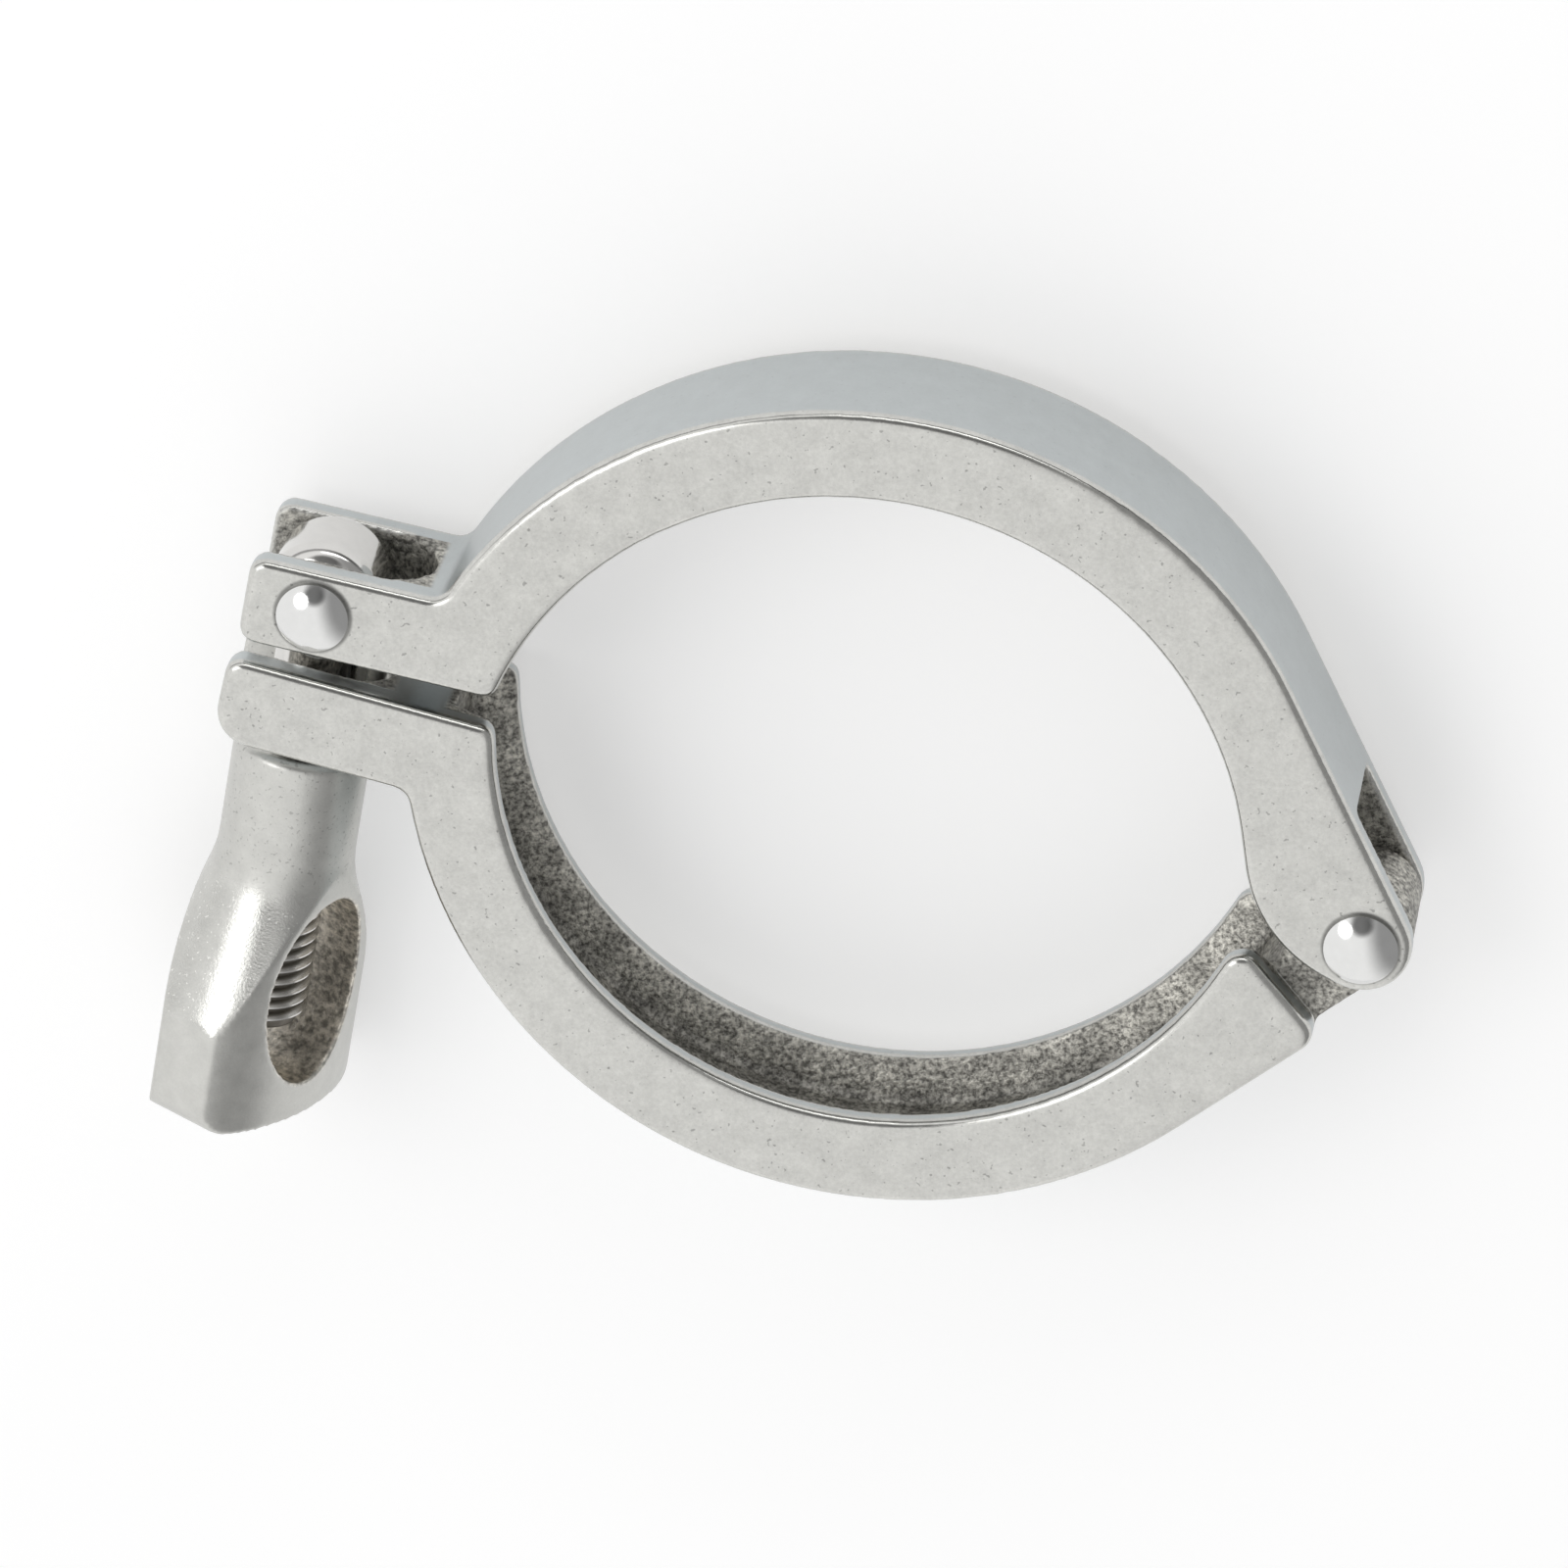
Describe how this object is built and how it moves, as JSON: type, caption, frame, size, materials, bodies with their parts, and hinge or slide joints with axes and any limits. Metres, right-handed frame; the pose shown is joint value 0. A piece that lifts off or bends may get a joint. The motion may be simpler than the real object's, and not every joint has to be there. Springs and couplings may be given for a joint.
{
  "type": "sanitary hinged clamp",
  "caption": "Hinged ring clamp for sanitary tube ferrules: two cast half rings on a riveted hinge, closed by a swinging eye bolt and a cast wing nut.",
  "frame": {"origin": "centre of the lower half ring, midway between the two side faces", "axes": "+Z along the ring axis, up with the clamp lying flat; +X from the bolt side to the hinge side"},
  "size_m": [0.1409, 0.0937, 0.027],
  "materials": {
    "cast_steel": "investment cast stainless steel, tumbled satin side faces, rough as-cast groove",
    "polished_rivet": "bright polished stainless steel, closed heads",
    "turned_bolt": "turned stainless steel, bright eye, cut thread",
    "cast_nut": "investment cast stainless steel, tumbled, bright blasted flare"
  },
  "bodies": {
    "lower_half": {"lower_half": "cast_steel"},
    "upper_half": {"upper_half": "cast_steel", "hinge_pin": "polished_rivet", "bolt_pin": "polished_rivet"},
    "swing_bolt": {"eye_bolt": "turned_bolt"},
    "nut": {"wing_nut": "cast_nut"}
  },
  "joints": [
    {"name": "clamp_hinge", "type": "hinge", "parent": "lower_half", "child": "upper_half", "pos_m": [0.04876, -0.02389, 0], "axis": [0, 0, -1], "range_deg": [0, 13]},
    {"name": "bolt_swing", "type": "hinge", "parent": "upper_half", "child": "swing_bolt", "pos_m": [-0.05882, 0.02228, 0], "axis": [0, 0, -1], "range_deg": [0, 205]},
    {"name": "nut_travel", "type": "slide", "parent": "swing_bolt", "child": "nut", "axis": [-0.2974, -0.9548, 0], "range_m": [0, 0.027]}
  ],
  "couplings": [
    {"joint": "nut_travel", "follows": "clamp_hinge", "m_per_rad": 0.118}
  ]
}
